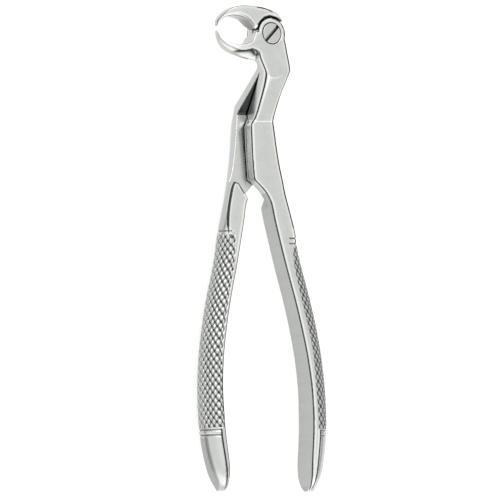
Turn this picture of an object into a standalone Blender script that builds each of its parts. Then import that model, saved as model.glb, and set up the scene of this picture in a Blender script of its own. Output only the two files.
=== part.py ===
"""Extraction forceps for lower third molars: two lever halves and the slotted screw that joins them.

Row frame: +Y runs up the instrument from the handles to the head, +Z is the hinge axis and points
to the side of the screw head, and the two beaks hook over to -X. The origin is on the hinge axis,
on the flat back of the joint. All the sizes below are in millimetres.

Each lever is drawn straight, with its depth z measured from the plane where the halves lap. It is
cut there, and the bayonet bend of the shank is put in last, by crank().
"""

import math

import bmesh
import bpy
import numpy as np
from mathutils import Vector

MM = 0.001

# Joint
HALF_DEPTH = 4.0  # depth of one half of the lap
LAP_GAP = 0.2  # from the lap plane to the flat of each half
DISC_R = 5.4
DISC_CLEARANCE = 0.45
SWING_CLEARANCE = 0.7  # between the lower beak's root and the rear shank at the end of the opening
BEAK_ROOT_GAP = (0.45, 1.05)  # Y of the lower and of the upper beak's root, beside the disc

# Motion, in degrees from the pose that is modelled
CLOSED = 2.4
OPENED = 24.0

# Bayonet bend: the joint stands this far in front of the handles. Each bend lies in a plane that
# leans by so much Y for each millimetre of depth.
CRANK_RISE = 12.5
CRANK_TOP = -12.9
CRANK_TOP_LEAN = 0.4
CRANK_BOTTOM = -26.0
CRANK_BOTTOM_LEAN = 0.8

# Screw
HEAD_R = 3.6
HEAD_DEPTH = 1.6
HEAD_PROUD = 0.1
HEAD_GAP = 0.2
HEAD_CHAMFER = 0.15
SHANK_R = 2.25
SHANK_GAP = 0.08
THREAD_R = 2.0
THREAD_DEPTH = 0.28
THREAD_PITCH = 0.7
THREAD_GAP = 0.12
SLOT_WIDTH = 1.2
SLOT_DEPTH = 1.0
SLOT_TURN = math.radians(45)

# Lever arms, as (Y, distance from X = 0). The inner face is the same on both levers. The front and the
# back of an arm are flat out to its flat edge, and its back bulges from there to its outer edge.
INNER_EDGE = [(1, -3.4), (-4, -4.9), (-8, -5.4), (-10.7, -4.4), (-14, -3.1), (-22, -1.8), (-28.4, -1.1),
              (-30.6, -2.2), (-38, -2.2), (-49, -1.8), (-51.5, 0.6), (-53.5, 2.6), (-57.5, 4.9), (-63, 6.0),
              (-70, 7.6), (-80.5, 10.1), (-91, 12.9), (-101.5, 15.2), (-112, 17.0), (-124.5, 18.0),
              (-133, 17.9), (-141, 17.3), (-149.5, 16.5), (-157, 16.6)]
HANDLE_FLAT = [(-76, 11.6), (-91, 15.0), (-112, 18.7), (-135, 19.3), (-149.5, 17.6), (-157, 17.0)]
FRONT_HANDLE_OUTER = [(-70, 15.8), (-80.5, 18.6), (-91, 21.4), (-101.5, 23.6), (-112, 25.1), (-124.5, 25.9),
                      (-133, 25.8), (-141, 24.9), (-149.5, 23.2), (-154, 21.4), (-157, 19.0)]
REAR_HANDLE_OUTER = [(-70, 14.9), (-80.5, 17.6), (-91, 20.6), (-101.5, 22.9), (-112, 24.6), (-124.5, 25.5),
                     (-133, 25.4), (-141, 24.6), (-149.5, 22.8), (-154, 21.1), (-157, 18.8)]
FRONT_FLAT = [(1, 4.0), (-2.3, 4.9), (-7.4, 5.8), (-12.5, 6.6), (-16, 6.4), (-20, 6.0), (-25.6, 6.2),
              (-30.7, 6.9), (-38.9, 7.8), (-45, 8.7), (-49.3, 9.6), (-53.5, 10.3), (-60, 11.1), (-67, 12.0),
              (-72, 11.7)] + HANDLE_FLAT
FRONT_OUTER = [(1, 4.6), (-2.3, 5.5), (-7.4, 6.4), (-12.5, 7.1), (-16, 6.9), (-20, 6.6), (-25.6, 6.8),
               (-30.7, 7.6), (-38.9, 8.7), (-45, 9.7), (-49.3, 10.6), (-53.5, 11.5), (-60, 13.2),
               (-65, 14.4)] + FRONT_HANDLE_OUTER
REAR_FLAT = [(1, 2.5), (-5, 1.8), (-10, 1.3), (-13, 1.7), (-16.4, 2.2), (-24.8, 3.7), (-29.7, 5.0),
             (-38, 6.0), (-48, 7.5), (-54.6, 8.8), (-60, 9.8), (-66.5, 11.0), (-72, 11.3)] + HANDLE_FLAT
REAR_OUTER = [(1, 4.6), (-3, 4.0), (-6, 2.8), (-9.9, 2.5), (-12.6, 2.9), (-17, 3.4), (-25, 4.9), (-29.7, 5.6),
              (-38, 6.6), (-48, 8.5), (-54.6, 10.1), (-60, 11.6), (-66.5, 13.7)] + REAR_HANDLE_OUTER
REAR_LEAN = [(1, 0), (-46, 0), (-53, 2.2), (-60, 2.4), (-67, 1.6), (-75, 0)]  # extra width at its front edge
ARM_HALF_DEPTH = [(1, 4.0), (-46, 4.0), (-60, 3.8), (-91, 4.0), (-112, 4.4), (-124.5, 4.8), (-130, 5.0),
                  (-146, 5.0)]
NO_LEAN = [(0, 0), (1, 0)]
EDGE_BEVEL = 0.6
HANDLE_END = -157.0
HANDLE_END_LENGTH = 11.0

# The flat lap ends here, where each handle grows to its full depth, as (distance from X = 0, Y)
FRONT_LAP_END = [(-12.0, -62.0), (3.0, -61.5), (5.3, -58.4), (6.6, -55.6), (8.6, -53.2), (16.0, -50.0)]
REAR_LAP_END = [(-12.0, -57.0), (4.2, -56.4), (5.5, -54.3), (8.0, -50.8), (10.6, -49.9), (14.0, -51.0)]

# Grooves round the outside of the handles, either side of a plain bead at each end of the grip
FRONT_GROOVES = (-69.4, -71.2, -136.2, -138.0)
REAR_GROOVES = (-66.6, -68.4, -136.2, -138.0)
GROOVE_WIDTH = 0.6
GROOVE_DEPTH = 0.3

# Beaks: inner edge, outer edge, half depth, crown, and the relief of the inner face towards the back
LOWER_BEAK = [((-1.5, 0.3), (-1.5, -9.3), 4.0, 0.3, 0), ((-4.6, 0.45), (-4.0, -9.8), 4.0, 1.0, 0),
              ((-6.4, 0.45), (-6.3, -9.3), 4.0, 1.8, 1.6), ((-7.0, -1.2), (-8.4, -8.8), 4.0, 2.5, 1.6),
              ((-8.0, -2.8), (-10.1, -8.4), 4.0, 2.1, 1.2), ((-9.8, -3.7), (-12.0, -7.8), 3.9, 1.4, 0.8),
              ((-12.1, -4.1), (-14.0, -7.1), 3.7, 0.9, 0.4), ((-14.6, -4.0), (-15.9, -6.2), 3.3, 0.8, 0.2),
              ((-16.7, -3.2), (-17.6, -5.0), 2.7, 0.6, 0.1), ((-18.3, -1.9), (-19.0, -3.3), 1.9, 0.4, 0),
              ((-19.3, -0.6), (-19.9, -1.6), 1.2, 0.25, 0), ((-19.9, 0.9), (-20.4, 0.7), 0.7, 0.1, 0)]
UPPER_BEAK = [((3.4, 2.2), (4.5, 4.6), 4.0, 0.1, 0), ((1.5, -1.0), (2.4, 7.0), 4.0, 0.3, 0),
              ((-2.0, -1.5), (-0.8, 8.5), 4.0, 0.9, 0), ((-4.6, 0.9), (-3.9, 9.4), 4.0, 1.8, 1.0),
              ((-6.4, 1.05), (-7.0, 9.8), 4.0, 2.7, 2.4), ((-7.2, 2.4), (-9.6, 9.85), 4.0, 2.4, 2.2),
              ((-8.7, 4.2), (-11.9, 9.5), 4.0, 1.7, 1.6), ((-11.0, 5.2), (-14.2, 9.0), 3.8, 1.1, 1.0),
              ((-13.8, 5.7), (-16.0, 8.2), 3.4, 0.8, 0.7), ((-16.4, 5.4), (-17.7, 7.0), 2.8, 0.6, 0.4),
              ((-18.3, 4.5), (-19.0, 5.7), 2.0, 0.4, 0.2), ((-19.5, 3.2), (-20.1, 3.9), 1.2, 0.25, 0),
              ((-19.9, 2.1), (-20.4, 2.3), 0.7, 0.1, 0)]
BEAK_HOLLOW = 0.12  # depth of the hollow across a beak's inner face, as a share of its half depth

STEEL = {"polished": ((0.78, 0.79, 0.78), 0.22), "satin": ((0.66, 0.67, 0.66), 0.38)}


def curve_through(table, at):
    """Values of a smooth curve through the table's points that doesn't overshoot between them."""
    table = sorted(table)
    x = np.array([row[0] for row in table], float)
    y = np.array([row[1:] for row in table], float)
    step = np.diff(x)[:, None]
    slope = np.diff(y, axis=0) / step
    tangent = np.zeros_like(y)
    tangent[0] = slope[0]
    tangent[-1] = slope[-1]
    before, after = slope[:-1], slope[1:]
    w1, w2 = 2 * step[1:] + step[:-1], step[1:] + 2 * step[:-1]
    same = before * after > 0
    safe_before, safe_after = np.where(same, before, 1), np.where(same, after, 1)
    tangent[1:-1] = np.where(same, (w1 + w2) / (w1 / safe_before + w2 / safe_after), 0)
    at = np.clip(np.atleast_1d(np.asarray(at, float)), x[0], x[-1])
    i = np.clip(np.searchsorted(x, at) - 1, 0, len(x) - 2)
    t = ((at - x[i]) / (x[i + 1] - x[i]))[:, None]
    h = (x[i + 1] - x[i])[:, None]
    return ((2 * t**3 - 3 * t**2 + 1) * y[i] + (t**3 - 2 * t**2 + t) * h * tangent[i]
            + (3 * t**2 - 2 * t**3) * y[i + 1] + (t**3 - t**2) * h * tangent[i + 1])


def value(table, y):
    return float(curve_through(table, y)[0, 0])


def mesh_object(name, bm):
    """An object of this mesh, with its faces pointing out."""
    bmesh.ops.recalc_face_normals(bm, faces=bm.faces)
    mesh = bpy.data.meshes.new(name)
    bm.to_mesh(mesh)
    bm.free()
    obj = bpy.data.objects.new(name, mesh)
    bpy.context.scene.collection.objects.link(obj)
    return obj


def loft(name, rings):
    """A closed solid through rings of the same number of points."""
    bm = bmesh.new()
    loops = [[bm.verts.new(point) for point in ring] for ring in rings]
    for lower, upper in zip(loops, loops[1:]):
        for k in range(len(lower)):
            after = (k + 1) % len(lower)
            bm.faces.new((lower[k], lower[after], upper[after], upper[k]))
    bm.faces.new(loops[0])
    bm.faces.new(list(reversed(loops[-1])))
    return mesh_object(name, bm)


def prism(name, outline, low, high):
    """The outline, in the XY plane, made solid from z = low to z = high."""
    return loft(name, [[(x, y, z) for x, y in outline] for z in (low, high)])


def turned(name, profile, segments):
    """A solid of revolution about Z. The profile is (radius, z) from the bottom to the top."""
    angles = [2 * math.pi * k / segments for k in range(segments)]
    return loft(name, [[(r * math.cos(a), r * math.sin(a), z) for a in angles] for r, z in profile])


def combine(target, others, operation):
    """Applies a Boolean with each of the others in turn, and removes them."""
    for other in others:
        modifier = target.modifiers.new("cut", "BOOLEAN")
        modifier.operation = operation
        modifier.object = other
        modifier.solver = "EXACT"
        graph = bpy.context.evaluated_depsgraph_get()
        made = bpy.data.meshes.new_from_object(target.evaluated_get(graph))
        target.modifiers.clear()
        target.data = made
        bpy.data.objects.remove(other)
    return target


# ---- the lever arm: handle, shank and the flat beside the joint disc


def end_taper(y):
    """How the handle's depth closes in a quarter ellipse at its end."""
    beyond = max(0.0, HANDLE_END + HANDLE_END_LENGTH - y) / HANDLE_END_LENGTH
    return math.sqrt(max(0.0, 1 - beyond**2))


def groove_depth(y, grooves):
    return GROOVE_DEPTH if any(abs(y - g) < 0.25 * GROOVE_WIDTH for g in grooves) else 0.0


def arm_ring(y, flat_edge, outer_edge, lean, grooves, steps):
    """One section of an arm: a flat inner face, bevels, two flats and a round back."""
    inner, flat, outer = value(INNER_EDGE, y), value(flat_edge, y), value(outer_edge, y)
    depth = value(ARM_HALF_DEPTH, y) * max(end_taper(y), 0.12)
    bevel = min(EDGE_BEVEL, 0.3 * depth, 0.2 * (outer - inner))
    ring = [(inner, -depth + bevel), (inner, depth - bevel), (inner + bevel, depth)]
    for k in range(steps + 1):
        z = depth * math.cos(math.pi * k / steps)
        bulge = (outer - flat) * (1 - (z / depth) ** 2)
        groove = groove_depth(y, grooves) * min(1.0, bulge / 0.8)
        ring.append((flat + bulge - groove + value(lean, y) * 0.5 * (1 - z / depth), z))
    ring.append((inner + bevel, -depth))
    return [(x, y, z) for x, z in ring]


def arm_stations(grooves):
    """Y of the arm's sections: closer where the outline turns, at the grooves and at the end."""
    stations = [1, -1.5, -4, -6, -8, -9.4, -10.7, -12.3, -14, -18, -22, -26, -28.4, -30.6, -34, -38, -44, -49,
                -50.2, -51.5, -52.5, -53.5, -55.5, -57.5, -60, -63]
    stations += [-74.5 - 6.5 * k for k in range(10)]
    for groove in grooves:
        stations += [groove + s * GROOVE_WIDTH for s in (-0.5, -0.2, 0.2, 0.5)]
    end = HANDLE_END + HANDLE_END_LENGTH
    stations += [end - HANDLE_END_LENGTH * math.sin(0.5 * math.pi * k / 7) for k in range(8)]
    return sorted(set(stations), reverse=True)


# ---- the beaks


def beak_ring(inner, outer, depth, crown, relief, steps):
    """One section of a beak, from its inner face, which is hollow across, to its crowned back."""
    inner, outer = np.array(inner), np.array(outer)
    outward = (outer - inner) / np.linalg.norm(outer - inner)
    across = [math.cos(math.pi * k / steps) for k in range(steps + 1)]
    ring = []
    for c in across:
        point = inner + outward * (BEAK_HOLLOW * depth * (1 - c * c) + relief * max(0.0, -c) ** 1.5)
        ring.append((*point, depth * c))
    for c in reversed(across):
        point = outer - outward * crown * abs(c) ** 1.8
        ring.append((*point, depth * c))
    return ring


def beak(name, table, sections, steps):
    """A beak through the table's sections, which are spread along it and smoothed."""
    rows = [(k, *row[0], *row[1], *row[2:]) for k, row in enumerate(table)]
    at = np.linspace(0, len(table) - 1, sections)
    rings = []
    for ix, iy, ox, oy, depth, crown, relief in curve_through(rows, at):
        rings.append(beak_ring((ix, iy), (ox, oy), depth, crown, relief, steps))
    return loft(name, rings)


# ---- cutting the lap


def arc(radius, start, end, steps):
    """Points on a circle round the hinge, from start to end degrees."""
    return [(radius * math.cos(math.radians(start + (end - start) * k / steps)),
             radius * math.sin(math.radians(start + (end - start) * k / steps))) for k in range(steps + 1)]


def turn(point, degrees):
    """The point turned about the hinge, anticlockwise seen from the front."""
    c, s = math.cos(math.radians(degrees)), math.sin(math.radians(degrees))
    return (c * point[0] - s * point[1], s * point[0] + c * point[1])


def front_lever_cut(side):
    """The room for the rear lever in the front lever's back half: its disc, its swinging shank, the lap."""
    clear = DISC_R + DISC_CLEARANCE
    edge = []
    for y in (-4.8, -6.5, -9.5, -13.0, -17.0, -30.0):
        edge.append(turn((-value(REAR_OUTER, y) - SWING_CLEARANCE, y), -OPENED))
    meet = math.degrees(math.atan2(edge[0][1], edge[0][0])) % 360
    outline = [(-clear, 12), (side, 12)]
    outline += [(x, y) for x, y in reversed(FRONT_LAP_END)]
    outline += reversed(edge[1:])
    outline += arc(clear, meet, 180, 10)
    return outline


def rear_lever_cut(side):
    """The front lever's room in the front half of the rear lever: its disc, and all below the beak's root."""
    clear = DISC_R + DISC_CLEARANCE
    root = sum(BEAK_ROOT_GAP) / 2
    start = 180 - math.degrees(math.asin(root / clear))
    outline = [(-side, root)] + arc(clear, start, 0, 20) + [(side, 0)]
    outline += [(-x, y) for x, y in REAR_LAP_END]
    return outline


# ---- the bayonet bend


def crank(obj):
    """Bends the shank: the handles go back by the crank's rise, between two planes that lean."""
    bm = bmesh.new()
    bm.from_mesh(obj.data)
    for bend, lean in ((CRANK_TOP, CRANK_TOP_LEAN), (CRANK_BOTTOM, CRANK_BOTTOM_LEAN)):
        bmesh.ops.bisect_plane(bm, geom=bm.verts[:] + bm.edges[:] + bm.faces[:], plane_co=(0, bend, 0),
                               plane_no=Vector((0, 1, lean)).normalized(), dist=1e-5)
    for vert in bm.verts:
        top = CRANK_TOP - CRANK_TOP_LEAN * vert.co.z
        bottom = CRANK_BOTTOM - CRANK_BOTTOM_LEAN * vert.co.z
        share = min(1.0, max(0.0, (vert.co.y - bottom) / (top - bottom)))
        vert.co.z += HALF_DEPTH - CRANK_RISE * (1 - share)
    bmesh.ops.remove_doubles(bm, verts=bm.verts, dist=1e-4)
    bmesh.ops.dissolve_degenerate(bm, edges=bm.edges, dist=1e-4)
    for vert in bm.verts:
        vert.co *= MM
    bm.to_mesh(obj.data)
    bm.free()


def finish(obj, steel):
    """Gives the object its steel, and shades its curved faces smooth."""
    colour, roughness = STEEL[steel]
    material = bpy.data.materials.new(obj.name)
    material.use_nodes = True
    shader = material.node_tree.nodes["Principled BSDF"]
    shader.inputs["Base Color"].default_value = (*colour, 1)
    shader.inputs["Metallic"].default_value = 1.0
    shader.inputs["Roughness"].default_value = roughness
    obj.data.materials.clear()
    obj.data.materials.append(material)
    obj.data.shade_smooth()
    obj.data.set_sharp_from_angle(angle=math.radians(28))


# ---- the three pieces


def lever_blank(name, beak_table, flat_edge, outer_edge, lean, grooves, side):
    """Arm, disc and beak joined, before the lap is cut. The side is 1 for a handle at +X, -1 at -X."""
    rings = []
    for y in arm_stations(grooves):
        ring = arm_ring(y, flat_edge, outer_edge, lean, grooves, 14)
        rings.append([(side * x, y, side * z) for x, y, z in ring])
    disc = turned(name + "_disc", [(DISC_R - 0.3, -HALF_DEPTH), (DISC_R, 0.3 - HALF_DEPTH),
                                   (DISC_R, HALF_DEPTH - 0.3), (DISC_R - 0.3, HALF_DEPTH)], 48)
    return combine(loft(name, rings), [disc, beak(name + "_beak", beak_table, 22, 8)], "UNION")


def front_lever():
    """The half with the lower beak and the right handle. The screw's head is let into it."""
    lever = lever_blank("front_lever", LOWER_BEAK, FRONT_FLAT, FRONT_OUTER, NO_LEAN, FRONT_GROOVES, 1)
    lap = prism("lap", front_lever_cut(14), -9, LAP_GAP)
    bore = turned("bore", [(SHANK_R + SHANK_GAP, -1), (SHANK_R + SHANK_GAP, HALF_DEPTH + 1)], 40)
    seat_z = HALF_DEPTH - HEAD_DEPTH - HEAD_GAP
    seat = turned("seat", [(HEAD_R + HEAD_GAP, seat_z), (HEAD_R + HEAD_GAP, HALF_DEPTH + 1)], 48)
    return combine(lever, [lap, bore, seat], "DIFFERENCE")


def thread(radius, depth, top, bottom):
    """A profile of V rings that stands for the thread, from the bottom up."""
    turns = int((top - bottom) / THREAD_PITCH)
    profile = [(radius - depth, bottom)]
    for k in range(turns):
        profile.append((radius, bottom + (k + 0.5) * THREAD_PITCH))
        profile.append((radius - depth, bottom + (k + 1) * THREAD_PITCH))
    return profile


def rear_lever():
    """The half with the upper beak and the left handle. The screw is threaded into it."""
    lever = lever_blank("rear_lever", UPPER_BEAK, REAR_FLAT, REAR_OUTER, REAR_LEAN, REAR_GROOVES, -1)
    lap = prism("lap", rear_lever_cut(14), -LAP_GAP, 9)
    rings = thread(THREAD_R + THREAD_GAP, THREAD_DEPTH, -0.5, -HALF_DEPTH)
    tapped = turned("tapped", [(rings[0][0], -HALF_DEPTH - 1)] + rings + [(rings[-1][0], 1)], 40)
    return combine(lever, [lap, tapped], "DIFFERENCE")


def joint_screw():
    """The slotted screw on the hinge axis. Its end is filed flush with the joint's back."""
    seat = HALF_DEPTH - HEAD_DEPTH
    top = HALF_DEPTH + HEAD_PROUD
    profile = thread(THREAD_R, THREAD_DEPTH, -0.5, -HALF_DEPTH)
    profile += [(THREAD_R - THREAD_DEPTH, LAP_GAP), (SHANK_R, LAP_GAP + 0.3), (SHANK_R, seat), (HEAD_R, seat)]
    profile += [(HEAD_R, top - HEAD_CHAMFER), (HEAD_R - HEAD_CHAMFER, top)]
    screw = turned("joint_screw", profile, 40)
    along, across = 2 * HEAD_R, 0.5 * SLOT_WIDTH
    corners = [(-along, -across), (along, -across), (along, across), (-along, across)]
    corners = [turn(corner, math.degrees(SLOT_TURN)) for corner in corners]
    return combine(screw, [prism("slot", corners, top - SLOT_DEPTH, top + 1)], "DIFFERENCE")


def main():
    for obj in list(bpy.data.objects):
        bpy.data.objects.remove(obj)
    for make, steel in ((front_lever, "polished"), (rear_lever, "polished"), (joint_screw, "satin")):
        obj = make()
        crank(obj)
        finish(obj, steel)


main()
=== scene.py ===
"""The looks of the extraction forceps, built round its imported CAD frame.

The two levers and the screw are made again here from nearly the same dimensions as the CAD part, in far
finer meshes with rounded edges and cut knurling, and each one stands for its CAD node. Lengths are in
millimetres until a piece is finished, and the frame's own metres after that.
"""

import math

import bmesh
import bpy
import numpy as np
from mathutils import Matrix, Vector


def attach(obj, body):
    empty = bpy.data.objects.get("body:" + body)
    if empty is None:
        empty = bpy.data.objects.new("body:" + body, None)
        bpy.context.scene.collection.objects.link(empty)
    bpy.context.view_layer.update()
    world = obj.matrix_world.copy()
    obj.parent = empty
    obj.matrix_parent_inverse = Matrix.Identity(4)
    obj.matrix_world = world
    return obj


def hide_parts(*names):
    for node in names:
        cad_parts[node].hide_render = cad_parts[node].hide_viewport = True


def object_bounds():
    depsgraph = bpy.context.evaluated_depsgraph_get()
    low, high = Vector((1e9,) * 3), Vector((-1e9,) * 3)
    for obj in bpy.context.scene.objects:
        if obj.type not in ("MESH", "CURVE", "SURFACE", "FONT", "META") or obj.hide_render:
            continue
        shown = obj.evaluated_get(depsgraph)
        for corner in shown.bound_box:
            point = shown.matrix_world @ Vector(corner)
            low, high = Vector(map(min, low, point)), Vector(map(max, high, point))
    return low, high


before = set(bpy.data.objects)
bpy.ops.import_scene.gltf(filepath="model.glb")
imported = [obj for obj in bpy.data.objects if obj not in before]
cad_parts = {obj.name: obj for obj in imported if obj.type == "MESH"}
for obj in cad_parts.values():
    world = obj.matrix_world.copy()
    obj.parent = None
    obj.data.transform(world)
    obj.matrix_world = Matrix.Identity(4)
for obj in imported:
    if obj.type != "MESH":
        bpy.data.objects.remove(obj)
cad_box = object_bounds()

MM = 0.001

# ---- dimensions, in millimetres: the CAD part's, but for the handles' flats and the details

HALF_DEPTH = 4.0
LAP_GAP = 0.2
DISC_R = 5.4
DISC_CLEARANCE = 0.45
SWING_CLEARANCE = 0.7
BEAK_ROOT_GAP = (0.45, 1.05)
OPENED = 24.0

CRANK_RISE = 12.5
CRANK_TOP = -12.9
CRANK_TOP_LEAN = 0.4
CRANK_BOTTOM = -26.0
CRANK_BOTTOM_LEAN = 0.8

HEAD_R = 3.6
HEAD_DEPTH = 1.6
HEAD_PROUD = 0.1
HEAD_GAP = 0.2
SHANK_R = 2.25
SHANK_GAP = 0.08
THREAD_R = 2.0
THREAD_GAP = 0.12
SLOT_WIDTH = 1.2
SLOT_DEPTH = 1.0
SLOT_TURN = 45.0

# Edges of the straight levers: Y, and how far out in X. The rear lever is mirrored.
INNER_EDGE = [(1, -3.4), (-4, -4.9), (-8, -5.4), (-10.7, -4.4), (-14, -3.1), (-22, -1.8), (-28.4, -1.1),
              (-30.6, -2.2), (-38, -2.2), (-49, -1.8), (-51.5, 0.6), (-53.5, 2.6), (-57.5, 4.9), (-63, 6.0),
              (-70, 7.6), (-80.5, 10.1), (-91, 12.9), (-101.5, 15.2), (-112, 17.0), (-124.5, 18.0),
              (-133, 17.9), (-141, 17.3), (-149.5, 16.5), (-157, 16.6)]
FRONT_HANDLE_FLAT = [(-60, 12.1), (-67, 13.8), (-70, 14.2), (-73, 13.6), (-76.5, 13.4), (-83.5, 14.5),
                     (-91, 16.1), (-112, 19.9), (-135, 20.4), (-149.5, 18.6), (-157, 17.5)]
REAR_HANDLE_FLAT = [(-76, 11.6), (-91, 15.0), (-112, 18.7), (-135, 19.3), (-149.5, 17.6), (-157, 17.0)]
FRONT_HANDLE_OUTER = [(-70, 15.8), (-80.5, 18.6), (-91, 21.4), (-101.5, 23.6), (-112, 25.1), (-124.5, 25.9),
                      (-133, 25.8), (-141, 24.9), (-149.5, 23.2), (-154, 21.4), (-157, 19.0)]
REAR_HANDLE_OUTER = [(-70, 14.9), (-80.5, 17.6), (-91, 20.6), (-101.5, 22.9), (-112, 24.6), (-124.5, 25.5),
                     (-133, 25.4), (-141, 24.6), (-149.5, 22.8), (-154, 21.1), (-157, 18.8)]
FRONT_FLAT = [(1, 4.0), (-2.3, 4.9), (-7.4, 5.8), (-12.5, 6.6), (-16, 6.4), (-20, 6.0), (-25.6, 6.2),
              (-30.7, 6.9), (-38.9, 7.8), (-45, 8.7), (-49.3, 9.6), (-53.5, 10.4)] + FRONT_HANDLE_FLAT
FRONT_OUTER = [(1, 4.6), (-2.3, 5.5), (-7.4, 6.4), (-12.5, 7.1), (-16, 6.9), (-20, 6.6), (-25.6, 6.8),
               (-30.7, 7.6), (-38.9, 8.7), (-45, 9.7), (-49.3, 10.6), (-53.5, 11.5), (-60, 13.2),
               (-65, 14.4)] + FRONT_HANDLE_OUTER
REAR_FLAT = [(1, 2.5), (-5, 1.8), (-10, 1.3), (-13, 1.7), (-16.4, 2.2), (-24.8, 3.7), (-29.7, 5.0),
             (-38, 6.0), (-48, 7.5), (-54.6, 8.8), (-60, 9.8), (-66.5, 11.0), (-72, 11.3)] + REAR_HANDLE_FLAT
REAR_OUTER = [(1, 4.6), (-3, 4.0), (-6, 2.8), (-9.9, 2.5), (-12.6, 2.9), (-17, 3.4), (-25, 4.9), (-29.7, 5.6),
              (-38, 6.6), (-48, 8.5), (-54.6, 10.1), (-60, 11.6), (-66.5, 13.7)] + REAR_HANDLE_OUTER
NO_LEAN = [(0, 0), (1, 0)]
REAR_LEAN = [(1, 0), (-46, 0), (-53, 2.2), (-60, 2.4), (-67, 1.6), (-75, 0)]
ARM_HALF_DEPTH = [(1, 4.0), (-46, 4.0), (-60, 3.8), (-91, 4.0), (-112, 4.4), (-124.5, 4.8), (-130, 5.0),
                  (-146, 5.0)]
EDGE_BEVEL = (0.5, 0.24)  # across the lever, and down into its depth
HANDLE_END = -157.0
HANDLE_END_LENGTH = 11.0

FRONT_LAP_END = [(-12.0, -62.0), (3.0, -61.5), (5.3, -58.4), (6.6, -55.6), (8.6, -53.2), (16.0, -50.0)]
REAR_LAP_END = [(-12.0, -57.0), (4.2, -56.4), (5.5, -54.3), (8.0, -50.8), (10.6, -49.9), (14.0, -51.0)]

# Grooves at the ends of the grip: Y, and how far each runs over the edge onto the flats
FRONT_GROOVES = [(-69.4, 2.2), (-71.2, 2.2), (-136.2, -0.1), (-138.0, -0.1)]
REAR_GROOVES = [(-67.3, -0.1), (-136.2, -0.1), (-138.0, -0.1)]
FRONT_GRIP = (-71.9, -135.7, 0.4)  # highest and lowest Y, and how far the knurling runs onto the flats
REAR_GRIP = (-68.4, -135.7, 1.1)

# Sections of each beak: inner edge, outer edge, half depth, crown, and relief of the inner face's back
LOWER_BEAK = [((-1.5, 0.3), (-1.5, -9.3), 4.0, 0.3, 0), ((-4.6, 0.45), (-4.0, -9.8), 4.0, 1.0, 0),
              ((-6.4, 0.45), (-6.3, -9.3), 4.0, 2.5, 1.6), ((-7.0, -1.2), (-8.4, -8.8), 4.0, 2.5, 1.6),
              ((-8.0, -2.8), (-10.1, -8.4), 4.0, 2.1, 1.2), ((-9.8, -3.7), (-12.0, -7.8), 3.9, 1.4, 0.8),
              ((-12.1, -4.1), (-14.0, -7.1), 3.7, 0.9, 0.4), ((-14.6, -4.0), (-15.9, -6.2), 3.3, 0.8, 0.2),
              ((-16.7, -3.2), (-17.6, -5.0), 2.7, 0.6, 0.1), ((-18.3, -1.9), (-19.0, -3.3), 1.9, 0.4, 0),
              ((-19.3, -0.6), (-19.9, -1.6), 1.2, 0.25, 0), ((-19.9, 0.9), (-20.4, 0.7), 0.7, 0.1, 0)]
UPPER_BEAK = [((3.4, 2.2), (4.5, 4.6), 4.0, 0.1, 0), ((1.5, -1.0), (2.4, 7.0), 4.0, 0.3, 0),
              ((-2.0, -1.5), (-0.8, 8.5), 4.0, 0.9, 0), ((-4.6, 0.9), (-3.9, 9.4), 4.0, 1.8, 1.0),
              ((-6.4, 1.05), (-7.0, 9.8), 4.0, 2.7, 2.4), ((-7.2, 2.4), (-9.6, 9.85), 4.0, 2.4, 2.2),
              ((-8.7, 4.2), (-11.9, 9.5), 4.0, 1.7, 1.6), ((-11.0, 5.2), (-14.2, 9.0), 3.8, 1.1, 1.0),
              ((-13.8, 5.7), (-16.0, 8.2), 3.4, 0.8, 0.7), ((-16.4, 5.4), (-17.7, 7.0), 2.8, 0.6, 0.4),
              ((-18.3, 4.5), (-19.0, 5.7), 2.0, 0.4, 0.2), ((-19.5, 3.2), (-20.1, 3.9), 1.2, 0.25, 0),
              ((-19.9, 2.1), (-20.4, 2.3), 0.7, 0.1, 0)]
LOWER_BEAK_FORM = (1.3, 0.0, 1.0)  # front crown, rim and scoop
UPPER_BEAK_FORM = (0.25, 1.5, 0.0)
BEAK_HOLLOW = 0.12
BEAK_HALF_DEPTH = [(-20.4, 0.7), (-19.9, 0.9), (-19.0, 1.9), (-17.6, 2.7), (-15.9, 3.3), (-14.0, 3.7),
                   (-12.0, 3.9), (-10.0, 4.0)]  # by X
SCOOP_AT = 0.58
SCOOP_REACH = 0.3
SCOOP_DEPTH = 0.5
SCOOP_LINE = [(-14.5, -6.6), (-11.5, -6.2), (-9.0, -5.7), (-7.4, -5.7), (-6.4, -6.3), (-5.8, -7.4)]
GAP_DEPTH = 0.35  # of the groove on the rear lever beside the front lever

# ---- how the fine meshes are made

LEVER_VOXEL = 0.145
SCREW_VOXEL = 0.06
LEVER_TRIANGLES = 196000
SCREW_TRIANGLES = 60000
EDGE_ROUNDING = 0.19  # how far smoothing may reach over an edge, in millimetres
BEND_ROUNDING = 0.35
BEND_LOWEST = -0.2  # X where the front of the upper bend comes lowest

# Knurling: two families of V grooves that cross in diamonds
KNURL_LENGTH = 2.9
KNURL_WIDTH = 1.9
KNURL_GROOVE = 0.28  # half a groove's width, as a share of the spacing
KNURL_DEPTH = 0.38
KNURL_FAMILIES = ((-1, 0.72), (1, 0.56))  # which way each family leans, and its share of the depth
BEAD_GROOVE_WIDTH = 0.9
BEAD_GROOVE_DEPTH = 0.35

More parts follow.
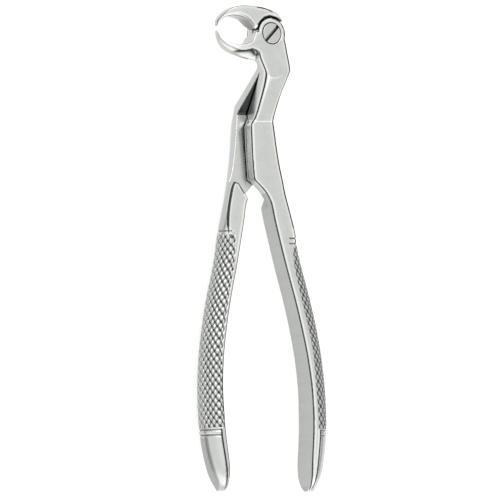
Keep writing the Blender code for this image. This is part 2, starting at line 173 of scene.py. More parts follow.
# Painted light along the edges: a painted dark line of shade on the chamfer, and brighter painted highlight
# strips beside it
LINE_DEPTH = 0.26
LINE_SPREAD = 2  # mesh edges that the line on a shank's outer edge reaches beyond the chamfer
HANDLE_START = -66.0
HIGHLIGHT_WIDTH = 0.9
# Painted shade line and painted highlight on the beaks' edges, and painted shade on a handle's outer side
BEAK_LINE_SHADE = 0.75
BEAK_HIGHLIGHT_TONE = 0.6
SIDE_SHADES = (0.15, 0.3)  # of a handle's smooth outer side, above the grip and below it
# Painted shade on the handles' inner faces, in the lap, the ring gap, the screw's seat, the end grooves and
# the knurling
INNER_FACE_SHADE = 0.32
LAP_SHADE = 0.9
BORE_SHADE = 0.25
BEAD_GROOVE_SHADE = 0.9
GRIP_SHADE = (1.25, 1.6)  # of the knurling on the rear and the front lever
TONE_STEP = 0.2  # a change of tone from point to point that the mesh keeps


def curve_through(table, at):
    """Values of a smooth curve through the table's points that doesn't overshoot between them."""
    table = sorted(table)
    x = np.array([row[0] for row in table], float)
    y = np.array([row[1:] for row in table], float)
    step = np.diff(x)[:, None]
    slope = np.diff(y, axis=0) / step
    tangent = np.zeros_like(y)
    tangent[0] = slope[0]
    tangent[-1] = slope[-1]
    before, after = slope[:-1], slope[1:]
    w1, w2 = 2 * step[1:] + step[:-1], step[1:] + 2 * step[:-1]
    same = before * after > 0
    safe_before, safe_after = np.where(same, before, 1), np.where(same, after, 1)
    tangent[1:-1] = np.where(same, (w1 + w2) / (w1 / safe_before + w2 / safe_after), 0)
    at = np.clip(np.atleast_1d(np.asarray(at, float)), x[0], x[-1])
    i = np.clip(np.searchsorted(x, at) - 1, 0, len(x) - 2)
    t = ((at - x[i]) / (x[i + 1] - x[i]))[:, None]
    h = (x[i + 1] - x[i])[:, None]
    return ((2 * t**3 - 3 * t**2 + 1) * y[i] + (t**3 - 2 * t**2 + t) * h * tangent[i]
            + (3 * t**2 - 2 * t**3) * y[i + 1] + (t**3 - t**2) * h * tangent[i + 1])


def faired(table, at):
    """The table's curve with its bumps evened out, more along the handle than near the joint."""
    at = np.atleast_1d(np.asarray(at, float))
    reach = np.interp(-at, [30, 45, 62, 80], [0.5, 0.7, 1.5, 5.0])
    offsets = np.linspace(-2, 2, 17)
    weights = np.exp(-0.5 * (offsets * 1.1) ** 2)
    total = np.zeros(len(at))
    for offset, weight in zip(offsets, weights / weights.sum()):
        total += weight * curve_through(table, at + offset * reach * 0.5)[:, 0]
    return total


def mesh_object(name, bm):
    """An object of this mesh, with its faces pointing out."""
    bmesh.ops.recalc_face_normals(bm, faces=bm.faces)
    mesh = bpy.data.meshes.new(name)
    bm.to_mesh(mesh)
    bm.free()
    obj = bpy.data.objects.new(name, mesh)
    bpy.context.scene.collection.objects.link(obj)
    return obj


def loft(name, rings):
    """A closed solid through rings of the same number of points."""
    bm = bmesh.new()
    loops = [[bm.verts.new(point) for point in ring] for ring in rings]
    for lower, upper in zip(loops, loops[1:]):
        for k in range(len(lower)):
            after = (k + 1) % len(lower)
            bm.faces.new((lower[k], lower[after], upper[after], upper[k]))
    bm.faces.new(loops[0])
    bm.faces.new(list(reversed(loops[-1])))
    return mesh_object(name, bm)


def prism(name, outline, low, high):
    return loft(name, [[(x, y, z) for x, y in outline] for z in (low, high)])


def turned(name, profile, segments):
    """A solid of revolution about Z. The profile is (radius, z) from the bottom to the top."""
    angles = [2 * math.pi * k / segments for k in range(segments)]
    return loft(name, [[(r * math.cos(a), r * math.sin(a), z) for a in angles] for r, z in profile])


def evaluated(obj):
    """Applies the object's modifiers to its mesh."""
    graph = bpy.context.evaluated_depsgraph_get()
    made = bpy.data.meshes.new_from_object(obj.evaluated_get(graph))
    obj.modifiers.clear()
    old = obj.data
    obj.data = made
    bpy.data.meshes.remove(old)
    return obj


def combine(target, others, operation):
    """Applies a Boolean with each of the others in turn, and removes them."""
    for other in others:
        modifier = target.modifiers.new("cut", "BOOLEAN")
        modifier.operation = operation
        modifier.object = other
        modifier.solver = "EXACT"
        evaluated(target)
        bpy.data.objects.remove(other)
    return target


# ---- fine meshes


def positions(mesh):
    co = np.empty(len(mesh.vertices) * 3)
    mesh.vertices.foreach_get("co", co)
    return co.reshape(-1, 3)


def set_positions(mesh, co):
    mesh.vertices.foreach_set("co", co.ravel())
    mesh.update()


def normals(mesh):
    out = np.empty(len(mesh.vertices) * 3)
    mesh.vertex_normals.foreach_get("vector", out)
    return out.reshape(-1, 3)


def edge_ends(mesh):
    ends = np.empty(len(mesh.edges) * 2, np.int32)
    mesh.edges.foreach_get("vertices", ends)
    return ends[0::2], ends[1::2]


def neighbour_mean(values, a, b):
    """Each vertex's neighbours' mean."""
    n = len(values)
    count = np.bincount(a, minlength=n) + np.bincount(b, minlength=n)
    total = np.empty_like(values)
    for k in range(values.shape[1]):
        total[:, k] = np.bincount(a, values[b, k], n) + np.bincount(b, values[a, k], n)
    return total / np.maximum(count, 1)[:, None]


def fine_skin(obj, voxel, rounding):
    """Replaces the mesh by even quads of the voxel's size, and rounds its edges."""
    modifier = obj.modifiers.new("skin", "REMESH")
    modifier.mode = "VOXEL"
    modifier.voxel_size = voxel
    modifier.adaptivity = 0
    evaluated(obj)
    co = positions(obj.data)
    a, b = edge_ends(obj.data)
    for _ in range(max(2, round(2 * (rounding / voxel) ** 2 / 0.5))):
        co += 0.5 * (neighbour_mean(co, a, b) - co)
    set_positions(obj.data, co)
    return obj


def thin_out(obj, triangles):
    """Brings the mesh down to so many triangles, mostly on its flat stretches.

    Where the object has a group named thin, only points in it may go.
    """
    obj.data.calc_loop_triangles()
    have = len(obj.data.loop_triangles)
    if have > triangles:
        modifier = obj.modifiers.new("thin", "DECIMATE")
        modifier.ratio = triangles / have
        if "thin" in obj.vertex_groups:
            modifier.vertex_group = "thin"
            modifier.vertex_group_factor = 0.01
        evaluated(obj)
        obj.vertex_groups.clear()
    return obj


# ---- the lever's parts, straight


def end_taper(y):
    beyond = np.maximum(0.0, HANDLE_END + HANDLE_END_LENGTH - y) / HANDLE_END_LENGTH
    return np.sqrt(np.maximum(0.0, 1 - beyond**3))


def arm_edges(y, flat_edge, outer_edge, lean):
    """Inner face, flat edge, outer edge, half depth and lean of the arm at each y."""
    inner = faired(INNER_EDGE, y)
    flat = faired(flat_edge, y)
    outer = faired(outer_edge, y)
    depth = faired(ARM_HALF_DEPTH, y) * np.maximum(end_taper(y), 0.3)
    return inner, flat, np.maximum(outer, flat + 0.3), depth, faired(lean, y)


def arm_rings(flat_edge, outer_edge, lean, side):
    """The arm's cross sections: flat front and back, chamfered inner edges and a rounded outer side."""
    stations = np.concatenate([np.arange(1, -66, -0.5), np.arange(-66, -146, -1.0),
                               HANDLE_END + HANDLE_END_LENGTH * (1 - np.sin(np.linspace(0, math.pi / 2, 24)))])
    around = np.cos(np.pi * np.arange(41) / 40)
    rings = []
    for y, inner, flat, outer, depth, tilt in zip(stations, *arm_edges(stations, flat_edge, outer_edge, lean)):
        across = min(EDGE_BEVEL[0], 0.2 * (outer - inner))
        down = min(EDGE_BEVEL[1], 0.2 * depth)
        ring = [(inner, -depth + down), (inner, depth - down), (inner + across, depth)]
        for t in around:
            ring.append((flat + outer_bulge(t, outer - flat, depth) + tilt * 0.5 * (1 - t), depth * t))
        ring.append((inner + across, -depth))
        rings.append([(side * x, y, side * z) for x, z in ring])
    return rings


def outer_bulge(t, bulge, depth):
    """How far the outer side stands out from the flats, at t from -1 at the back to 1 at the front."""
    chamfer = min(EDGE_BEVEL[0], 0.9 * bulge)
    down = chamfer * EDGE_BEVEL[1] / EDGE_BEVEL[0]
    inward = (1 - abs(t)) * depth
    beyond = min(1.0, 1 - (inward - down) / (depth - down))
    return chamfer * min(1.0, inward / down) + (bulge - chamfer) * (1 - beyond ** 2) ** 0.8


def beak(name, table, sections, steps, front_crown, rim, scoop):
    """A beak through the table's sections: dished across its inner face, crowned on its back.

    The front's outer edge steps back by front_crown of the crown, with a scoop below it; the rim is how
    far the front slopes down to the inner edge.
    """
    rows = [(k, *row[0], *row[1], *row[2:]) for k, row in enumerate(table)]
    at = np.linspace(0, len(table) - 1, sections)
    across = np.cos(np.pi * np.arange(steps + 1) / steps)
    rings = []
    for k, (ix, iy, ox, oy, depth, crown, relief) in zip(at, curve_through(rows, at)):
        inner, outer = np.array((ix, iy)), np.array((ox, oy))
        outward = (outer - inner) / np.linalg.norm(outer - inner)
        fade = np.clip(k - 1, 0, 1) * np.clip((len(table) - 1 - k) / 4, 0, 1)
        ring = []
        for c in across:
            point = inner + outward * (BEAK_HOLLOW * depth * (1 - c * c) + relief * max(0.0, -c) ** 1.5)
            ramp = max(0.0, (c - 0.8) / 0.2)
            point = point + outward * rim * fade * ramp ** 1.3
            ring.append((*point, depth * c))
        for c in reversed(across):
            back = abs(c) ** 1.8
            if c > 0:
                step = np.clip((c - 0.02) / 0.5, 0, 1)
                back = front_crown * ((1 - scoop) * back + scoop * step * step * (3 - 2 * step))
            point = outer - outward * crown * back
            if c > 0 and scoop:
                dip = np.clip(1 - abs(c - SCOOP_AT) / SCOOP_REACH, 0, 1)
                point = point - outward * SCOOP_DEPTH * fade * dip * dip * (3 - 2 * dip)
            ring.append((*point, depth * c))
        rings.append(ring)
    return loft(name, rings)


def arc(radius, start, end, steps):
    angles = np.radians(np.linspace(start, end, steps + 1))
    return [(radius * math.cos(a), radius * math.sin(a)) for a in angles]


def turn(point, degrees):
    c, s = math.cos(math.radians(degrees)), math.sin(math.radians(degrees))
    return (c * point[0] - s * point[1], s * point[0] + c * point[1])


def front_lever_cut(side):
    clear = DISC_R + DISC_CLEARANCE
    edge = []
    for y in (-4.8, -6.5, -9.5, -13.0, -17.0, -30.0):
        edge.append(turn((-float(curve_through(REAR_OUTER, y)[0, 0]) - SWING_CLEARANCE, y), -OPENED))
    meet = math.degrees(math.atan2(edge[0][1], edge[0][0])) % 360
    outline = [(-clear, 12), (side, 12)] + list(reversed(FRONT_LAP_END)) + list(reversed(edge[1:]))
    return outline + arc(clear, meet, 180, 24)


def rear_lever_cut(side):
    clear = DISC_R + DISC_CLEARANCE
    root = sum(BEAK_ROOT_GAP) / 2
    start = 180 - math.degrees(math.asin(root / clear))
    outline = [(-side, root)] + arc(clear, start, 0, 48) + [(side, 0)]
    return outline + [(-x, y) for x, y in REAR_LAP_END]


def lever_blank(name, beak_table, beak_form, rings):
    disc = turned(name + "_disc", [(DISC_R, -HALF_DEPTH), (DISC_R, HALF_DEPTH)], 120)
    return combine(loft(name, rings), [disc, beak(name + "_beak", beak_table, 80, 40, *beak_form)], "UNION")


# ---- bending and knurling


def soft_ramp(x, reach):
    """0 below 0 and x above it, with the corner rounded over the reach to either side."""
    t = np.clip((x + reach) / (2 * reach), 0, 1)
    return np.where(x > reach, x, reach * t * t)


def crank(co):
    """Moves the points of a straight lever to their places on the bent one."""
    x, y, z = co.T
    bow = np.where(x > BEND_LOWEST, 0.055, 0.2) * (x - BEND_LOWEST) ** 2 - 1.0
    top = CRANK_TOP - CRANK_TOP_LEAN * z + np.clip((z - 0.4) / 3, 0, 1) * np.clip(bow, -1, 1.5)
    bottom = CRANK_BOTTOM - CRANK_BOTTOM_LEAN * z
    length = top - bottom
    rise = soft_ramp(y - bottom, BEND_ROUNDING) - soft_ramp(y - top, BEND_ROUNDING)
    out = co.copy()
    out[:, 2] = z + HALF_DEPTH - CRANK_RISE * (1 - rise / length)
    return out


def grip_cuts(co, side, shape, grip, grooves):
    """How deep the grip's cuts are at each point of a straight lever, and how much painted shade they get."""
    x, y, z = side * co[:, 0], co[:, 1], side * co[:, 2]
    cut, dark = np.zeros(len(co)), np.zeros(len(co))
    near = np.flatnonzero((y < grip[0] + 3) & (y > grip[1] - 4) & (x > 0))
    x, y, z = x[near], y[near], z[near]
    table = np.arange(grip[1] - 5, grip[0] + 5, 0.5)
    inner, flat, outer, depth, _ = (np.interp(y, table, values) for values in arm_edges(table, *shape))
    t = np.clip(z / depth, -1, 1)
    slope = 2 * (outer - flat) / depth
    around = 0.5 * depth * (t * np.sqrt(1 + (slope * t) ** 2) + np.arcsinh(slope * t) / slope)
    around += np.sign(t) * np.clip(flat + 0.1 - x, 0, 5)
    lean_in = np.gradient(0.5 * (faired(INNER_EDGE, table) + faired(shape[1], table)), table)
    stretch = np.concatenate([[0], np.cumsum(np.sqrt(1 + lean_in[1:] ** 2) * np.diff(table))])
    along = np.interp(y, table, stretch)
    pattern = np.zeros(len(near))
    for family, strength in KNURL_FAMILIES:
        phase = around / KNURL_WIDTH + family * along / KNURL_LENGTH
        off = np.abs(phase - np.round(phase))
        pattern += strength * np.clip(1 - off / KNURL_GROOVE, 0, 1)
    in_grip = np.clip((grip[0] - y) / 0.4, 0, 1) * np.clip((y - grip[1]) / 0.4, 0, 1)
    in_grip *= np.clip((x - flat + grip[2]) / 0.2, 0, 1)
    bead = np.zeros(len(near))
    for groove, over in grooves:
        here = np.clip(1 - np.abs(y - groove) / (0.5 * BEAD_GROOVE_WIDTH), 0, 1)
        bead = np.maximum(bead, here * np.clip((x - flat + over) / 0.2, 0, 1))
    cut[near] = np.maximum(KNURL_DEPTH * pattern * in_grip, BEAD_GROOVE_DEPTH * bead)
    # Painted shade in the knurling's and the end grooves' cuts, weaker on the middle of the outer side
    strong = np.interp(np.abs(t), [0.1, 0.6], [0.45, 1.0])
    dark[near] = np.maximum(GRIP_SHADE[side > 0] * pattern * in_grip * strong, BEAD_GROOVE_SHADE * bead)
    return cut, dark


def mark(mesh, name, value):
    """Keeps a painted shade or a painted highlight for the steel at each point, from 0 to 1."""
    tone = mesh.attributes.new(name, "FLOAT", "POINT")
    tone.data.foreach_set("value", np.clip(value, 0, 1).astype(np.float32))


def steps_from(flagged, a, b, count):
    """How many mesh edges each point is from a flagged one, up to the count."""
    steps = np.where(flagged, 0, count)
    reached = flagged.copy()
    for k in range(1, count):
        grown = reached.copy()
        grown[a[reached[b]]] = True
        grown[b[reached[a]]] = True
        steps[grown & ~reached] = k
        reached = grown
    return steps


def edge_shade_and_highlight(lever, co, normal, side, shape, grip):
    """A painted dark line of shade along each chamfer, painted highlight strips to either side of it, and
    painted shade on the handles' smooth outer sides.
    """
    x, y = side * co[:, 0], co[:, 1]
    table = np.arange(HANDLE_END - 1, 12, 0.5)
    inner, flat, outer, depth, _ = (np.interp(y, table, values) for values in arm_edges(table, *shape))
    on_beak = (co[:, 0] < -5.7) & (y > -11)
    beak_depth = np.interp(co[:, 0], *np.array(BEAK_HALF_DEPTH).T)
    depth = np.where(on_beak, beak_depth, depth)
    facing = np.abs(normal[:, 2])
    at_end = y < HANDLE_END + HANDLE_END_LENGTH
    facing[at_end] /= np.maximum(np.hypot(normal[at_end, 0], normal[at_end, 2]), 0.01)
    rim = np.abs(co[:, 2]) > depth - LINE_DEPTH * np.clip(depth / 4, 0.3, 1)
    rim &= facing < np.where(on_beak, 0.85, 0.975)
    rim &= np.hypot(co[:, 0], y) > HEAD_R + HEAD_GAP + 0.8
    rim &= ~((y < grip[0] + 0.2) & (y > grip[1] - 0.2) & (x > 0.5 * (inner + flat)))
    a, b = edge_ends(lever.data)
    reach = max(3, round(HIGHLIGHT_WIDTH / LEVER_VOXEL))
    steps = steps_from(rim, a, b, reach + 1)
    # Painted shade: a dark line along each chamfer, standing for its dark reflection
    line = steps <= np.where(on_beak | (x < 0.5 * (inner + flat)) | (y < HANDLE_START), 0, LINE_SPREAD)
    # Painted highlight: brighter strips beside the chamfer's dark line
    painted_highlight = (~line & (steps <= reach)) * np.where(on_beak, BEAK_HIGHLIGHT_TONE, 1.0)
    painted_highlight *= np.interp(co[:, 0], [-17, -13], [0, 1])
    painted_highlight[(y < grip[0]) & (y > grip[1]) & (x > flat - grip[2] - 0.4)] = 0
    # Painted shade on a handle's smooth outer side, darker below the grip
    side_face = (x > flat + 0.1) & (facing < 0.7) & ((y > grip[0] + 1) | (y < grip[1] - 3)) & (y < -50)
    side_shade = side_face * np.where(y < grip[1], SIDE_SHADES[1], SIDE_SHADES[0])
    line = np.maximum(line * np.where(on_beak, BEAK_LINE_SHADE, 1.0), side_shade)
    tones = np.stack([line, painted_highlight], axis=1)
    tones += 0.5 * (neighbour_mean(tones, a, b) - tones)
    return tones.T


def detail_lever(lever, side, shape, grip, grooves):
    """Rounds the straight lever's edges, paints shade and highlights into its colour, bends its shank, cuts
    its grip and thins its mesh.
    """
    fine_skin(lever, LEVER_VOXEL, EDGE_ROUNDING)
    co = positions(lever.data)
    normal = normals(lever.data)
    line, painted_highlight = edge_shade_and_highlight(lever, co, normal, side, shape, grip)
    cut, dark = grip_cuts(co, side, shape, grip, grooves)
    # Painted shade darkens the colour: the handles' inner faces, inside the joint, the scoop, the groove
    # beside the front lever and the upper beak's inner face
    inner_face_shade = (side * normal[:, 0] < -0.8) * np.clip((-50 - co[:, 1]) / 3, 0, 1) * INNER_FACE_SHADE
    for tone in (line, joint_shade(co, np.abs(normal[:, 2])), inner_face_shade):
        dark = np.maximum(dark, tone)
    if side > 0:
        dark = np.maximum(dark, scoop_shade(co))
    else:
        gap = lever_gap(co)
        dark = np.maximum(dark, np.maximum(gap, beak_shade(co, normal)))
        cut = np.maximum(cut, GAP_DEPTH * gap)
    mark(lever.data, "painted_shade", dark)
    mark(lever.data, "painted_highlight", painted_highlight * (1 - np.clip(1.5 * dark, 0, 1)))
    keep_tones(lever, co, dark, painted_highlight)
    co = co - normal * cut[:, None]
    set_positions(lever.data, crank(co))
    thin_out(lever, LEVER_TRIANGLES)
    return lever


def keep_tones(obj, co, dark, painted_highlight):
    """Keeps thin_out() from thinning the mesh where a tone ends in the middle of a flat."""
    a, b = edge_ends(obj.data)
    change = (np.abs(painted_highlight[a] - painted_highlight[b]) > TONE_STEP) & (dark[a] < 0.2) & (dark[b] < 0.2)
    change |= (np.abs(dark[a] - dark[b]) > TONE_STEP) & (np.abs(co[a, 2]) < 0.6)
    free = np.ones(len(co), bool)
    free[a[change]] = False
    free[b[change]] = False
    group = obj.vertex_groups.new(name="thin")
    group.add(np.flatnonzero(free).tolist(), 1.0, "REPLACE")


def beak_shade(co, normal):
    """How much painted shade darkens the upper beak's inner face at each point: most of all towards the joint.
    """
    inward = (normal[:, 1] < -0.25) & (co[:, 0] < -4.2) & (co[:, 1] > -1) & (co[:, 2] < 3.0)
    return inward * np.interp(co[:, 0], [-15.0, -12.0, -7.0, -5.0], [0.0, 0.3, 0.6, 0.45])


def joint_shade(co, facing):
    """How much painted shade darkens each point for lying inside the joint: the lap's slanted part, the ring
    gap, the seat.
    """
    x, y, z = co.T
    radius = np.hypot(x, y)
    lap = (np.abs(z) < 0.45) & (y > -26.5) & (y < 8) & (facing > 0.7)
    ring = (np.abs(radius - DISC_R - DISC_CLEARANCE) < 0.4) & (y > -4.5) & (z < 3.7) & (z > 0)
    bore = (radius < HEAD_R + HEAD_GAP + 0.15) & (z < 3.4)
    return np.maximum(LAP_SHADE * (lap | ring), BORE_SHADE * bore)


def along_line(co, line):
    """Distance in X and Y from each point to a line of points."""
    nearest = np.full(len(co), 1e9)
    for start, end in zip(np.array(line[:-1]), np.array(line[1:])):
        run = end - start
        t = np.clip(((co[:, :2] - start) @ run) / (run @ run), 0, 1)
        off = co[:, :2] - start - t[:, None] * run
        nearest = np.minimum(nearest, np.hypot(off[:, 0], off[:, 1]))
    return nearest


def scoop_shade(co):
    """How much painted shade darkens the scoop below the front of the lower beak at each point."""
    reach = np.interp(co[:, 0], [-14, -9, -7.2, -5.8], [0.35, 1.15, 1.1, 0.5])
    near = np.clip(1.35 - along_line(co, SCOOP_LINE) / reach, 0, 1)
    deep = np.clip((3.75 - co[:, 2]) / 0.3, 0, 1) * np.clip((co[:, 2] - 0.6) / 0.8, 0, 1)
    return near * deep


def lever_gap(co):
    """The groove on the rear lever's lap beside the front lever's edge: 1 at its middle. It sets the groove's
    depth and the painted shade in it.
    """
    x, y, z = co.T
    edge = -np.interp(-y, [-row[0] for row in INNER_EDGE], [row[1] for row in INNER_EDGE])
    off = np.abs(x + edge + 0.15) / 0.4
    ends = np.clip((y + 50) / 1.5, 0, 1) * np.clip((-27.5 - y) / 1.5, 0, 1)
    return np.clip(2.5 * (1 - off), 0, 1) * ends * (np.abs(z + LAP_GAP) < 0.4)


# ---- the three pieces


def front_lever():
    rings = arm_rings(FRONT_FLAT, FRONT_OUTER, NO_LEAN, 1)
    lever = lever_blank("front_lever_fine", LOWER_BEAK, LOWER_BEAK_FORM, rings)
    lap = prism("lap", front_lever_cut(14), -9, LAP_GAP)
    bore = turned("bore", [(SHANK_R + SHANK_GAP, -1), (SHANK_R + SHANK_GAP, HALF_DEPTH + 1)], 64)
    seat_z = HALF_DEPTH - HEAD_DEPTH - HEAD_GAP
    seat = turned("seat", [(HEAD_R + HEAD_GAP, seat_z), (HEAD_R + HEAD_GAP, HALF_DEPTH + 1)], 96)
    combine(lever, [lap, bore, seat], "DIFFERENCE")
    return detail_lever(lever, 1, (FRONT_FLAT, FRONT_OUTER, NO_LEAN), FRONT_GRIP, FRONT_GROOVES)


def rear_lever():
    rings = arm_rings(REAR_FLAT, REAR_OUTER, REAR_LEAN, -1)
    lever = lever_blank("rear_lever_fine", UPPER_BEAK, UPPER_BEAK_FORM, rings)
    lap = prism("lap", rear_lever_cut(14), -LAP_GAP, 9)
    bore = turned("bore", [(THREAD_R + THREAD_GAP, -HALF_DEPTH - 1), (THREAD_R + THREAD_GAP, 1)], 64)
    combine(lever, [lap, bore], "DIFFERENCE")
    return detail_lever(lever, -1, (REAR_FLAT, REAR_OUTER, REAR_LEAN), REAR_GRIP, REAR_GROOVES)


def joint_screw():
    top = HALF_DEPTH + HEAD_PROUD
    seat = HALF_DEPTH - HEAD_DEPTH
    profile = [(THREAD_R - 0.1, -HALF_DEPTH), (THREAD_R, 0.15 - HALF_DEPTH), (THREAD_R, LAP_GAP),
               (SHANK_R, LAP_GAP + 0.3), (SHANK_R, seat), (HEAD_R, seat), (HEAD_R, top - 0.3)]
    for k in range(1, 7):
        a = 0.5 * math.pi * k / 6
        profile.append((HEAD_R - 0.3 + 0.3 * math.cos(a), top - 0.3 + 0.3 * math.sin(a)))
    screw = turned("joint_screw_fine", profile, 128)
    along, across = 2 * HEAD_R, 0.5 * SLOT_WIDTH
    corners = [(-along, -across), (along, -across), (along, across), (-along, across)]
    slot = prism("slot", [turn(corner, SLOT_TURN) for corner in corners], top - SLOT_DEPTH, top + 1)
    combine(screw, [slot], "DIFFERENCE")
    fine_skin(screw, SCREW_VOXEL, 0.05)
    co = positions(screw.data)
    # Painted shade: the slot's lower-right half and wall nearly black, the rest of it a little darker, and a
    # band on the head's side
    down_right = co[:, 0] * math.sin(math.radians(SLOT_TURN)) - co[:, 1] * math.cos(math.radians(SLOT_TURN))
    in_slot = (np.abs(down_right) < 0.5 * SLOT_WIDTH + 0.05) & (co[:, 2] < top - 0.12)
    beside = (np.hypot(co[:, 0], co[:, 1]) > HEAD_R - 0.05) & (co[:, 2] < top - 0.3)
    mark(screw.data, "painted_shade", np.maximum(in_slot * np.where(down_right > -0.2, 1.0, 0.1), 0.15 * beside))
    co[:, 2] += HALF_DEPTH
    set_positions(screw.data, co)
    return thin_out(screw, SCREW_TRIANGLES)


def finish(obj, material):
    """Brings the piece to metres, and gives it its material and smooth shading."""
    set_positions(obj.data, positions(obj.data) * MM)
    obj.data.materials.clear()
    obj.data.materials.append(material)
    obj.data.shade_smooth()
    return obj


# ---- materials

# Colours mixed into the steel for the painted shade and the painted highlight
PAINTED_SHADE_COLOUR = (0.03, 0.034, 0.037)
PAINTED_HIGHLIGHT_COLOUR = (0.69, 0.7, 0.68)
LEVER_STEEL = ((0.5, 0.508, 0.49), 0.24, 0.04, 0.3)  # colour, roughness and its spread, strength of the grain
SCREW_STEEL = ((0.46, 0.466, 0.45), 0.3, 0.05, 0.4)
MOTTLING = 0.1  # how far the colour varies to either side
GRAIN_HEIGHT = 0.00003


def node(tree, kind, **inputs):
    made = tree.nodes.new(kind)
    for name, value in inputs.items():
        made.inputs[name.replace("_", " ")].default_value = value
    return made


def blend_colours(tree, factor, *colours):
    """A mix of two colours, each a colour or a node's output."""
    mix = tree.nodes.new("ShaderNodeMix")
    mix.data_type = "RGBA"
    tree.links.new(factor, mix.inputs[0])
    for socket, colour in zip((mix.inputs[6], mix.inputs[7]), colours):
        if isinstance(colour, tuple):
            socket.default_value = (*colour, 1)
        else:
            tree.links.new(colour, socket)
    return mix.outputs[2]


def stored_tone(tree, name):
    """The tone of this name that mark() keeps at the mesh's points."""
    attribute = tree.nodes.new("ShaderNodeAttribute")
    attribute.attribute_name = name
    return attribute.outputs["Fac"]


def steel(name, colour, roughness, spread, grain):
    """Satin stainless steel: faint mottling, painted highlights and painted shade from the mesh's stored
    attributes, roughness that varies and a fine grain.
    """
    material = bpy.data.materials.new(name)
    material.use_nodes = True
    tree = material.node_tree
    shader = tree.nodes["Principled BSDF"]
    shader.inputs["Metallic"].default_value = 1.0
    place = tree.nodes.new("ShaderNodeTexCoord")
    mottle = node(tree, "ShaderNodeTexNoise", Scale=420.0, Detail=5.0, Roughness=0.62)
    tree.links.new(place.outputs["Object"], mottle.inputs["Vector"])
    darker, lighter = (tuple(c * share for c in colour) for share in (1 - MOTTLING, 1 + MOTTLING))
    tint = blend_colours(tree, mottle.outputs["Fac"], darker, lighter)
    # Painted highlight, then painted shade, mixed into the steel's colour from the stored attributes
    brightened = blend_colours(tree, stored_tone(tree, "painted_highlight"), tint, PAINTED_HIGHLIGHT_COLOUR)
    darkened = blend_colours(tree, stored_tone(tree, "painted_shade"), brightened, PAINTED_SHADE_COLOUR)
    tree.links.new(darkened, shader.inputs["Base Color"])
    cloud = node(tree, "ShaderNodeTexNoise", Scale=160.0, Detail=4.0, Roughness=0.6)
    tree.links.new(place.outputs["Object"], cloud.inputs["Vector"])
    spread_node = tree.nodes.new("ShaderNodeMapRange")
    spread_node.inputs["To Min"].default_value = roughness - spread
    spread_node.inputs["To Max"].default_value = roughness + spread
    tree.links.new(cloud.outputs["Fac"], spread_node.inputs["Value"])
    tree.links.new(spread_node.outputs["Result"], shader.inputs["Roughness"])
    fine = node(tree, "ShaderNodeTexNoise", Scale=5200.0, Detail=3.0, Roughness=0.6)
    tree.links.new(place.outputs["Object"], fine.inputs["Vector"])
    bump = node(tree, "ShaderNodeBump", Strength=grain, Distance=GRAIN_HEIGHT)
    tree.links.new(fine.outputs["Fac"], bump.inputs["Height"])
    tree.links.new(bump.outputs["Normal"], shader.inputs["Normal"])
    return material


def build_pieces():
    lever_steel = steel("lever_steel_satin", *LEVER_STEEL)
    screw_steel = steel("screw_steel_satin", *SCREW_STEEL)
    for make, body, node_name, slot, material in (
            (front_lever, "front_half", "front_lever", "lever_steel", lever_steel),
            (rear_lever, "rear_half", "rear_lever", "lever_steel", lever_steel),
            (joint_screw, "rear_half", "joint_screw", "screw_steel", screw_steel)):
        piece = finish(make(), material)
        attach(piece, body)
        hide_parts(node_name)


# ---- stage, light and camera

low, high = (Vector(corner) for corner in cad_box)
CENTRE = (low + high) / 2
TOWARD_CAMERA = Vector((-0.5276, -0.1015, 0.8431)).normalized()
CAMERA_UP = Vector((-0.0202, 0.994, 0.107))
CAMERA_DISTANCE = 3.0
FRAME_WIDTH = 0.1724
AIM_OFFSET = (-0.00504, -0.00045)  # from the middle of the forceps, to the camera's right and up
WORLD_STRENGTH = 1.15
SIDE_LEVELS = ((0.0, 1.0), (0.015, 1.0), (0.04, 0.4), (0.27, 0.4), (0.38, 0.8), (0.6, 1.1), (0.8, 1.0),
               (1.0, 1.15))  # height, brightness
FRONT_LEVELS = ((0.0, 1.0), (0.28, 1.0), (0.45, 1.7), (0.8, 1.7), (0.92, 1.2), (1.0, 1.15))
SOFTBOX_EDGE = (-0.28, -0.55)  # the Y of a direction where the softbox begins and is full
KEY_LIGHT = ((-0.13, 0.58, 1.15), 0.85, 4.0)  # place from the forceps' middle, width and power
FLOOR_RADIUS = 4.0
FLOOR_DROP = 0.0002
FLOOR_GREY = 0.3
FLOOR_GLOW = 0.8


def add_floor():
    bm = bmesh.new()
    bmesh.ops.create_circle(bm, cap_ends=True, radius=FLOOR_RADIUS, segments=96)
    floor = mesh_object("floor", bm)
    floor.location = (CENTRE.x, CENTRE.y, low.z - FLOOR_DROP)
    material = bpy.data.materials.new("floor_white")
    material.use_nodes = True
    shader = material.node_tree.nodes["Principled BSDF"]
    shader.inputs["Base Color"].default_value = (FLOOR_GREY, FLOOR_GREY, FLOOR_GREY, 1)
    shader.inputs["Roughness"].default_value = 0.9
    shader.inputs["Specular IOR Level"].default_value = 0.1
    shader.inputs["Emission Color"].default_value = (1, 1, 1, 1)
    shader.inputs["Emission Strength"].default_value = FLOOR_GLOW
    floor.data.materials.append(material)


def shade_by_height(tree, height, levels):
    """A ramp of grey over the height of a direction, from the horizon at 0 to overhead at 1."""
    node_ramp = tree.nodes.new("ShaderNodeValToRGB")
    ramp = node_ramp.color_ramp
    for element, (position, level) in zip(ramp.elements, (levels[0], levels[-1])):
        element.position = position
        element.color = (level, level, level, 1)
    for position, level in levels[1:-1]:
        ramp.elements.new(position).color = (level, level, level, 1)
    tree.links.new(height, node_ramp.inputs["Fac"])
    return node_ramp.outputs["Color"]


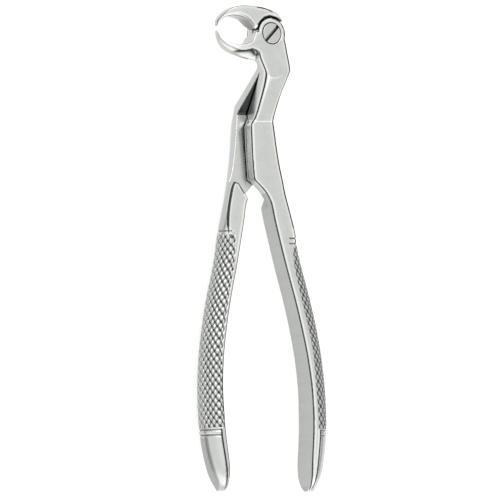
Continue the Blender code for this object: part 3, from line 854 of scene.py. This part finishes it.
def smooth_step(tree, value, start, end):
    step = tree.nodes.new("ShaderNodeMapRange")
    step.interpolation_type = "SMOOTHSTEP"
    step.inputs["From Min"].default_value = start
    step.inputs["From Max"].default_value = end
    tree.links.new(value, step.inputs["Value"])
    return step.outputs["Result"]


def add_world():
    """A pale studio: a softbox on the handles' side, and a greyer band low down everywhere else."""
    world = bpy.data.worlds.new("studio")
    bpy.context.scene.world = world
    world.use_nodes = True
    tree = world.node_tree
    background = tree.nodes["Background"]
    place = tree.nodes.new("ShaderNodeTexCoord")
    split = tree.nodes.new("ShaderNodeSeparateXYZ")
    tree.links.new(place.outputs["Generated"], split.inputs[0])
    side = shade_by_height(tree, split.outputs["Z"], SIDE_LEVELS)
    front = shade_by_height(tree, split.outputs["Z"], FRONT_LEVELS)
    colour = blend_colours(tree, smooth_step(tree, split.outputs["Y"], *SOFTBOX_EDGE), side, front)
    tree.links.new(colour, background.inputs["Color"])
    background.inputs["Strength"].default_value = WORLD_STRENGTH


def add_light(name, place, size, power):
    light = bpy.data.lights.new(name, "AREA")
    light.shape = "DISK"
    light.size = size
    light.energy = power
    lamp = bpy.data.objects.new(name, light)
    bpy.context.scene.collection.objects.link(lamp)
    lamp.location = CENTRE + Vector(place)
    lamp.rotation_euler = (CENTRE - lamp.location).to_track_quat("-Z", "Y").to_euler()


def add_camera():
    right = CAMERA_UP.cross(TOWARD_CAMERA).normalized()
    up = TOWARD_CAMERA.cross(right)
    camera = bpy.data.cameras.new("camera")
    camera.sensor_width = 36
    camera.lens = 36 * CAMERA_DISTANCE / FRAME_WIDTH
    camera.clip_start = 0.1
    camera.clip_end = 20
    obj = bpy.data.objects.new("camera", camera)
    bpy.context.scene.collection.objects.link(obj)
    aim = CENTRE + right * AIM_OFFSET[0] + up * AIM_OFFSET[1]
    turn_matrix = Matrix((right, up, TOWARD_CAMERA)).transposed().to_4x4()
    obj.matrix_world = Matrix.Translation(aim + TOWARD_CAMERA * CAMERA_DISTANCE) @ turn_matrix
    bpy.context.scene.camera = obj


def main():
    bpy.context.scene.view_settings.view_transform = "Standard"
    add_camera()
    add_floor()
    add_world()
    add_light("key", *KEY_LIGHT)
    build_pieces()


main()
